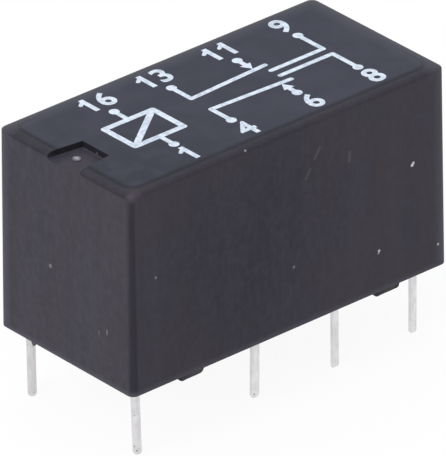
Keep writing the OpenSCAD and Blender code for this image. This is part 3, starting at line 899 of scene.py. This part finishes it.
makeCover()
makeVentSeal()
print("cover and vent made")


# Printed diagram on the roof: the coil, two change-over contacts and plain pin numbers

printShape = {
    "line": 0.28,
    "thickness": 0.014,
    "dot": 0.27,              # radius of the dot at the end of each lead
    "corners": 12,            # of a rod
    "rings": 8,               # in a ball
    "dotSegments": 20,
    "arrow": 0.38,            # radius of an arrow head
    "numberHeight": 1.35,
    "typeSize": 1.37,         # of a digit one high
    "numberBold": 0.045,
    "digitPitch": 0.98,
    "digitSteps": 4,
    "flagWidth": 0.22,        # flag that the plain figure 1 lacks, and its ends in heights of a digit
    "flag": ((0.0, 0.42), (-0.24, 0.24)),
}


def printStroke(points, width, balls=None):
    # a line of ink through the points, with a ball at each unless only some are to have one
    shape = printShape
    made = [addRod("rod", width / 2, (*start, topZ), (*end, topZ), shape["corners"])
            for start, end in zip(points, points[1:])]
    return made + [addBall("ball", width / 2, (*point, topZ), shape["corners"], shape["rings"])
                   for point in (points if balls is None else balls)]


def printDot(x, y):
    return addBall("dot", printShape["dot"], (x, y, topZ), printShape["dotSegments"], printShape["rings"])


def printArrow(x, y, pointsUp):
    # filled arrow head of a contact
    deselectAll()
    bpy.ops.mesh.primitive_cylinder_add(vertices=3, radius=printShape["arrow"] * mm,
                                        depth=printShape["line"] * mm, location=(x * mm, y * mm, topZ * mm),
                                        rotation=(0, 0, 0 if pointsUp else math.pi))
    return newPiece("arrow")


def printDigit(digit, x, y):
    shape = printShape
    height = shape["numberHeight"]
    deselectAll()
    bpy.ops.object.text_add(location=(0, 0, 0))
    mark = bpy.context.object
    settings = {"body": digit, "align_x": "CENTER", "align_y": "CENTER", "resolution_u": shape["digitSteps"],
                "size": height * shape["typeSize"] * mm, "offset": shape["numberBold"] * mm,
                "extrude": shape["dot"] * mm}
    for key, value in settings.items():
        setattr(mark.data, key, value)
    bpy.ops.object.convert(target="MESH")
    bpy.context.object.location = (x * mm, y * mm, topZ * mm)
    mark = newPiece("digit")
    editMode(mark)
    mergePoints()
    turnOutwards()
    objectMode()
    if digit != "1":
        return [mark]
    flag = [(x + a * height, y + b * height) for a, b in shape["flag"]]
    return [mark] + printStroke(flag, shape["flagWidth"])


def printNumber(number, x, y):
    made = []
    for i, digit in enumerate(number):
        made += printDigit(digit, x + (i - (len(number) - 1) / 2) * printShape["digitPitch"], y)
    return made


def finishPrint(pieces, name):
    # flattens the rods and balls to a film of ink
    ink = joinPieces(pieces, name)
    editMode(ink)
    selectAll()
    resizeAbout((1, 1, printShape["thickness"] / printShape["dot"]), (0, 0, topZ))
    objectMode()
    smoothFinish(ink, "rounded")
    dress(ink, inkFinish, "housing", "case_plastic")


coilSymbol = {"left": -6.5, "right": -3.45, "y": 1.15, "lead": 2.2, "line": 0.34}
contactSymbol = {
    "common": -1.35, "closed": 2.85, "open": 6.75,
    "lead": 2.2,           # outer end of the leads
    "pivotY": 0.72,
    "blade": (3.55, 0.96),
    "arrowY": 1.44,
    "openEnd": (3.4, 0.34),
}
numbers = {
    "coilX": -4.98, "y": 3.4,
    "rows": {"front": ("1", "4", "6", "8"), "rear": ("16", "13", "11", "9")},
}


def makePrint():
    coil, line = coilSymbol, printShape["line"]
    left, right, high = coil["left"], coil["right"], coil["y"]
    centre = (left + right) / 2
    box = [(left, -high), (right, -high), (right, high), (left, high), (left, -high)]
    pieces = printStroke(box, coil["line"], box[1:])
    pieces += printStroke([(left, -high), (right, high)], coil["line"], [])
    for side in sides.values():
        pieces += printStroke([(centre, side * high), (centre, side * coil["lead"])], line)
        pieces.append(printDot(centre, side * coil["lead"]))
    finishPrint(pieces, "print_coil_symbol")

    sign = contactSymbol
    for sideName, side in sides.items():
        ends = [(sign[name], side * sign["lead"]) for name in ("common", "closed", "open")]
        bladeX, bladeY = sign["blade"]
        pivot = (sign["common"], side * sign["pivotY"])
        pieces = printStroke([ends[0], pivot, (bladeX, side * bladeY)], line)
        pieces += printStroke([ends[1], (sign["closed"], side * sign["arrowY"])], line)
        pieces.append(printArrow(sign["closed"], side * sign["arrowY"], side < 0))
        openX, openY = sign["openEnd"]
        pieces += printStroke([ends[2], (sign["open"], side * openY), (openX, side * openY)], line)
        pieces += [printDot(*end) for end in ends]
        finishPrint(pieces, "print_contact_symbol_" + sideName)

    columns = (numbers["coilX"], sign["common"], sign["closed"], sign["open"])
    for sideName, row in numbers["rows"].items():
        pieces = []
        for number, x in zip(row, columns):
            pieces += printNumber(number, x, sides[sideName] * numbers["y"])
        finishPrint(pieces, "print_numbers_" + sideName)


makePrint()
print("print made")


# Pieces made from a merged copy of a CAD node, with the soft edges of pressed, drawn or moulded parts

sameTurn = math.radians(1)     # faces that turn less than this are one face


def mergedCopy(nodeName, pieceName):
    # a copy of a node whose loose triangles are merged and whose flat faces are whole again, in edit mode
    node = frame["nodes"][nodeName]
    piece = node.copy()
    piece.data = node.data.copy()
    piece.name = pieceName
    piece.data.name = pieceName
    bpy.context.scene.collection.objects.link(piece)
    piece.parent = None
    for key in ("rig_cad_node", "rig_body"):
        if key in piece:
            del piece[key]
    editMode(piece)
    if piece.data.has_custom_normals:
        bpy.ops.mesh.customdata_custom_splitnormals_clear()
    selectAll()
    bpy.ops.mesh.remove_doubles(threshold=seam * mm)
    bpy.ops.mesh.dissolve_limited(angle_limit=sameTurn)
    return piece


def dressCopy(piece, nodeName):
    slot = slotOf[nodeName]
    dress(piece, finish[slot], bodyOf[nodeName], slot, nodeName)


# Terminals: radius of their edges and of the tip, how far handling has pushed each pin along X and Y, how far
# its tip leans along X, and for a blade that was cut off nearly square how much wider its tip is
terminalShape = {
    "coil_terminal": {"edge": 0.03, "tip": 0.045, "push": {"front": (-0.135, 0.0), "rear": (-0.16, 0.1)},
                      "lean": {"front": 0.11, "rear": 0.035}},
    "common_terminal": {"edge": 0.035, "tip": 0.14, "push": {"front": (-0.06, 0.07), "rear": (0.03, 0.02)},
                        "lean": {"front": -0.045, "rear": 0.02}},
    "closed_terminal": {"edge": 0.035, "tip": 0.06, "push": {"front": (-0.02, 0.06), "rear": (0.0, 0.03)},
                        "lean": {"front": 0.0, "rear": -0.03}, "spread": 2.2},
    "open_terminal": {"edge": 0.035, "tip": 0.06, "push": {"front": (0.0, 0.075), "rear": (0.02, 0.0)},
                      "lean": {"front": -0.02, "rear": 0.03}, "spread": 1.5},
}
pinShape = {
    "straightAbove": 4.4,    # the pins are straight above this level
    "pushedBelow": 4.0,      # and pushed below this one
    "squareZ": 3.9,          # where a round coil pin turns square, hidden in the resin
    "tipLength": 0.16,
    "tipTurn": 20,           # degrees from which an edge of the tip is rounded
    "tipSteps": 3,
    "leanLength": 1.0,
}


def makeTerminal(stem, sideName):
    shape, pin = terminalShape[stem], pinShape
    nodeName = stem + "_" + sideName
    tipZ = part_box(nodeName)[0].z / mm
    piece = mergedCopy(nodeName, nodeName + "_pressed")
    if "spread" in shape:
        selectParts(piece, "VERT", lambda place: place.z < tipZ + near)
        resizeAbout((shape["spread"], 1, 1), (pinColumns[stem.split("_")[0]], 0, 0))
    roundEdges(piece, lambda a, b: max(a.z, b.z) < tipZ + pin["tipLength"], shape["tip"], pin["tipSteps"],
               pin["tipTurn"])
    roundEdges(piece, lambda a, b: max(abs(a.z - pin["squareZ"]), abs(b.z - pin["squareZ"])) > near,
               shape["edge"], softSteps, sharp)
    for level in (pin["straightAbove"], pin["pushedBelow"]):
        selectAll()
        bpy.ops.mesh.bisect(plane_co=(0, 0, level * mm), plane_no=(0, 0, 1))
    pushX, pushY = shape["push"][sideName]
    for top, move in ((pin["pushedBelow"] + hair, (pushX, pushY, 0)),
                      (tipZ + pin["leanLength"], (shape["lean"][sideName], 0, 0))):
        selectParts(piece, "VERT", lambda place: place.z < top)
        bpy.ops.transform.translate(value=[d * mm for d in move])
    objectMode()
    smoothFinish(piece, "pressed")
    dressCopy(piece, nodeName)


for stem in terminalShape:
    for sideName in sides:
        makeTerminal(stem, sideName)
print("terminals made")

# Radius of the edges of the other parts that are only softened, and the nodes that have it
softEdges = {
    0.06: ("yoke", "core", "armature"),
    0.04: ("bobbin", "actuator_card"),
    0.025: ("return_spring", "contact_spring_front", "contact_spring_rear"),
    0.02: ("moving_contact_front", "moving_contact_rear", "closed_contact_front", "closed_contact_rear",
           "open_contact_front", "open_contact_rear"),
}


def softCopy(nodeName, radius):
    piece = mergedCopy(nodeName, nodeName + "_finished")
    roundEdges(piece, anyEdge, radius, softSteps, sharp)
    objectMode()
    smoothFinish(piece, "pressed")
    dressCopy(piece, nodeName)


for radius, nodeNames in softEdges.items():
    for nodeName in nodeNames:
        softCopy(nodeName, radius)
print("magnet, card, springs and contacts made")


# Base, with a gate mark under each foot and a heel at its end

baseShape = {
    "edge": 0.03,
    "sideInset": 0.34,       # of the outer face of the feet from the side of the cover
    # feet by their place along X: how far the heel reaches past the end of the foot, and its radius
    "feet": {-6.05: (0.04, 0.26), 6.45: (0.1, 0.17)},
    "footLength": 1.4,
    "depth": 1.0,            # of a mark or heel into the foot
    "markFromEnd": 0.17,
    "markRadius": 0.3,
    "markCorners": 40,
    "markDrop": 0.06,
    "markEdge": 0.04,
    "heelLength": 0.6,
    "heelHeight": 0.38,
    "heelProud": 0.02,
    "heelSteps": 5,
}


def addGateMark(base, x, side):
    shape = baseShape
    outerY = halfWidth - shape["sideInset"]
    markX = x - shape["footLength"] / 2 + shape["markFromEnd"]
    markZ = footZ - shape["markDrop"] + shape["markRadius"]
    stub = addRod("mark", shape["markRadius"], (markX, side * (outerY - shape["depth"]), markZ),
                  (markX, side * outerY, markZ), shape["markCorners"])
    combine(base, "UNION", roundPiece(stub, anyEdge, shape["markEdge"], softSteps, sharp))


def addHeel(base, x, side):
    shape = baseShape
    outerY = halfWidth - shape["sideInset"]
    reach, radius = shape["feet"][x]
    heelX = x + shape["footLength"] / 2 + reach
    inner, outer = sorted((side * (outerY - shape["depth"]), side * (outerY + shape["heelProud"])))
    heel = addBox("heel", (heelX - shape["heelLength"], inner, footZ),
                  (heelX, outer, footZ + shape["heelHeight"]))
    roundPiece(heel, lambda a, b: max(a.z, b.z) < footZ + near and min(a.x, b.x) > heelX - near, radius,
               shape["heelSteps"])
    combine(base, "UNION", heel)


def makeBase():
    base = mergedCopy("base", "base_finished")
    roundEdges(base, anyEdge, baseShape["edge"], softSteps, sharp)
    objectMode()
    for x in baseShape["feet"]:
        for side in sides.values():
            addGateMark(base, x, side)
            addHeel(base, x, side)
    smoothFinish(base, "pressed")
    dressCopy(base, "base")


makeBase()
print("base made")


# Sealing resin, poured with the relay on its back, so that it climbs the walls, the pins and the feet

resinShape = {
    "cell": 0.14,
    # how far it climbs, how far from there it starts to, and half the size of a pin or the depth of a foot
    "wall": {"rise": 0.11, "reach": 0.6},
    "pin": {"rise": 0.16, "reach": 0.5, "half": (0.3, 0.26)},
    "foot": {"rise": 0.1, "reach": 0.45, "depth": 1.1},
}


def makeResin():
    shape = resinShape
    low, high = [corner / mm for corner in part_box("sealing_resin")]
    deselectAll()
    bpy.ops.mesh.primitive_grid_add(x_subdivisions=round(2 * high.x / shape["cell"]),
                                    y_subdivisions=round(2 * high.y / shape["cell"]),
                                    size=2 * mm, location=(0, 0, low.z * mm))
    resin = newPiece("sealing_resin_poured")
    editMode(resin)
    selectAll()
    resizeAbout((high.x, high.y, 1))

    def climb(edge, wanted):
        selectParts(resin, "VERT", wanted)
        bpy.ops.transform.translate(value=(0, 0, -edge["rise"] * mm), use_proportional_edit=True,
                                    proportional_edit_falloff="SHARP", proportional_size=edge["reach"] * mm)

    climb(shape["wall"], lambda place: abs(place.x) > high.x - near or abs(place.y) > high.y - near)
    pin, foot = shape["pin"], shape["foot"]
    halfX, halfY = pin["half"]
    for x in pinColumns.values():
        for side in sides.values():
            climb(pin, lambda place: abs(place.x - x) < halfX and abs(place.y - side * pinRow) < halfY)
    for x in baseShape["feet"]:
        for side in sides.values():
            climb(foot, lambda place: abs(place.x - x) < baseShape["footLength"] / 2
                  and side * place.y > high.y - foot["depth"])
    selectAll()
    bpy.ops.mesh.extrude_region_move(TRANSFORM_OT_translate={"value": (0, 0, (high.z - low.z) * mm)})
    resizeAbout((1, 1, 0), (0, 0, high.z))
    turnOutwards()
    objectMode()
    smoothFinish(resin, "rounded")
    dress(resin, finish["resin"], "housing", "resin", "sealing_resin")


makeResin()
print("resin made")


# Winding: real wire is about 0.05 mm thick, drawn coarser so that its turns show

windingShape = {"turn": 0.15, "wire": 0.08, "corners": 72, "wireCorners": 8}


def addTurns(name, radius, shape, place, rotation, count, offset):
    # rings of wire side by side, and the radius is that to the outside of the wire
    deselectAll()
    wire = shape["wire"]
    bpy.ops.mesh.primitive_torus_add(major_radius=(radius - wire) * mm, minor_radius=wire * mm,
                                     major_segments=shape["corners"], minor_segments=shape["wireCorners"],
                                     location=[c * mm for c in place], rotation=rotation)
    turns = newPiece(name)
    addModifier(turns, "ARRAY", {"count": count, "use_relative_offset": False, "use_constant_offset": True,
                                 "constant_offset_displace": [c * mm for c in offset]})
    return turns


def makeWinding():
    low, high = [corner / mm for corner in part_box("coil_winding")]
    centreZ = (low.z + high.z) / 2
    outer = (high.z - low.z) / 2
    wire, turn = windingShape["wire"], windingShape["turn"]
    turns = addTurns("coil_winding_turns", outer, windingShape, (low.x + turn / 2 + near, 0, centreZ),
                     (0, math.pi / 2, 0), int((high.x - low.x) / turn), (turn, 0, 0))
    inner = mergedCopy("coil_winding", "coil_winding_inner")
    selectAll()
    scale = (outer - wire) / outer
    resizeAbout((1, scale, scale), (0, 0, centreZ))
    objectMode()
    winding = joinPieces([turns, inner], "coil_winding_turns")
    smoothFinish(winding, "rounded")
    dressCopy(winding, "coil_winding")


# Ends of the winding wire: turns round the coil pin and the run to the winding
leadShape = {
    "wire": 0.06, "corners": 32, "wireCorners": 8,
    "radius": 0.4,
    "tilt": 0.12,            # of each turn, in radians
    "turn": 0.115, "turns": 6,
    "runCorners": 12,
    "runStart": (0.2, 0.28), # of the run from the pin, along X and inwards
    "runEnd": (0.02, 0.08),  # of the run from the end of the solid, and from its top
    "runEndY": 2.95,
}

# Drop of solder on each of them
solderShape = {
    "sink": 0.1,             # of its middle from the top of the turns
    "radius": 0.34, "height": 0.255, "unevenness": 0.02,
    "waist": 0.3,            # more than its height, so that all of it is uneven
    "segments": 24, "rings": 12, "seed": 3,
}


def makeLead(sideName):
    side = sides[sideName]
    shape = leadShape
    low, high = [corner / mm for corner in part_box("coil_lead_" + sideName)]
    x, y = pinColumns["coil"], side * pinRow
    turns = addTurns("coil_lead_turns", shape["radius"], shape, (x, y, low.z + shape["wire"]),
                     (shape["tilt"] * side, 0, 0), shape["turns"], (0, 0, shape["turn"]))
    (startX, startY), (endX, endZ) = shape["runStart"], shape["runEnd"]
    run = addRod("run", shape["wire"], (x + startX, y - side * startY, (low.z + high.z) / 2),
                 (high.x - endX, side * shape["runEndY"], high.z - endZ), shape["runCorners"])
    lead = joinPieces([turns, run], "coil_lead_%s_wrapped" % sideName)
    smoothFinish(lead, "drop")
    dressCopy(lead, "coil_lead_" + sideName)

    drop = makeDrop("solder_drop_" + sideName, solderShape, (x, y, high.z - solderShape["sink"]))
    dress(drop, finish["tinned_copper"], "housing", "tinned_copper")


makeWinding()
for sideName in sides:
    makeLead(sideName)
print("winding and its ends made")


# Floor, light and camera

stageLook = {
    "floor": "#f8f8f9",
    "floorSize": 3,          # metres
    "floorGlow": 0.93,       # share of plain white that the camera and reflections see in the floor
    "white": "#ffffff",
    "ambient": 0.45,
}


def seenDirectly(tree):
    # 1 for what the camera sees, straight, in a reflection or through something clear
    path = addNode(tree, "LightPath").outputs
    rays = [path[name + " Ray"] for name in ("Is Camera", "Is Glossy", "Is Transmission")]
    return joinNodes(tree, larger, rays)


def makeFloor():
    # Painted table top: matt and white, and the camera sees it almost as plain white round a soft shadow
    deselectAll()
    bpy.ops.mesh.primitive_plane_add(size=stageLook["floorSize"])
    floor = newPiece("floor")
    material = bpy.data.materials.new("paleStudioTable")
    tree = emptyTree(material)
    paint = addNode(tree, "BsdfDiffuse", {"Color": stageLook["floor"]})
    glow = addNode(tree, "Emission", {"Color": stageLook["white"]})
    share = addNode(tree, times, [seenDirectly(tree), stageLook["floorGlow"]])
    mixed = addNode(tree, "MixShader", [share, paint, glow])
    addNode(tree, "OutputMaterial", {"Surface": mixed})
    floor.data.materials.append(material)


def makeWorld():
    world = bpy.data.worlds.new("studioAir")
    bpy.context.scene.world = world
    tree = emptyTree(world)
    soft, white = [addNode(tree, "Background", {"Color": stageLook["white"], "Strength": strength})
                   for strength in (stageLook["ambient"], 1.0)]
    addNode(tree, "OutputWorld", {"Surface": addNode(tree, "MixShader", [seenDirectly(tree), soft, white])})


# Soft boxes: azimuth and elevation in degrees, distance and size in metres, power in watts, colour
softBoxes = {
    "keyBox": (-79, 38, 0.6, 0.35, 2.2, "#ffffff"),
    "fillBox": (24, 32, 0.7, 0.45, 0.6, "#ffffff"),
    "topBox": (-170, 74, 0.7, 0.45, 1.6, "#eef3ff"),
}
lightAim = (0, 0, 9)


def directionOf(azimuth, elevation):
    a, e = math.radians(azimuth), math.radians(elevation)
    return Vector((math.sin(a) * math.cos(e), -math.cos(a) * math.cos(e), math.sin(e)))


def makeLights():
    for name, (azimuth, elevation, distance, size, power, colour) in softBoxes.items():
        direction = directionOf(azimuth, elevation)
        lamp = bpy.data.lights.new(name, "AREA")
        lamp.shape = "SQUARE"
        lamp.size = size
        lamp.energy = power
        lamp.color = linearColour(colour)[:3]
        holder = bpy.data.objects.new(name, lamp)
        bpy.context.scene.collection.objects.link(holder)
        holder.location = Vector([c * mm for c in lightAim]) + direction * distance
        holder.rotation_mode = "QUATERNION"
        holder.rotation_quaternion = (-direction).to_track_quat("-Z", "Y")
        holder.visible_camera = False


# Camera, fitted to the outline of the case and the pin tips in the photo
cameraView = {
    "azimuth": -40.5993,
    "elevation": 28.7606,
    "roll": -0.6413,
    "distance": 566.288,
    "shiftAcross": 0.1233,     # how far the origin lies off the optical axis
    "shiftUp": -6.6111,
    "settings": {"lens": 917.4, "sensor_width": 36, "clip_start": 0.01, "clip_end": 10},   # clips in metres
}


def makeCamera():
    look = cameraView
    back = directionOf(look["azimuth"], look["elevation"])
    a, roll = math.radians(look["azimuth"]), math.radians(look["roll"])
    right = Vector((math.cos(a), math.sin(a), 0))
    up = back.cross(right)
    across = math.cos(roll) * right + math.sin(roll) * up
    upward = math.cos(roll) * up - math.sin(roll) * right
    place = (look["distance"] * back - look["shiftAcross"] * across - look["shiftUp"] * upward) * mm
    data = bpy.data.cameras.new("studioCamera")
    for key, value in look["settings"].items():
        setattr(data, key, value)
    camera = bpy.data.objects.new("studioCamera", data)
    bpy.context.scene.collection.objects.link(camera)
    turn = Matrix((across, upward, back)).transposed().to_4x4()
    camera.matrix_world = Matrix.Translation(place) @ turn
    bpy.context.scene.camera = camera


makeFloor()
makeWorld()
makeLights()
makeCamera()
bpy.context.scene.view_settings.view_transform = "Standard"
print("floor, light and camera made")
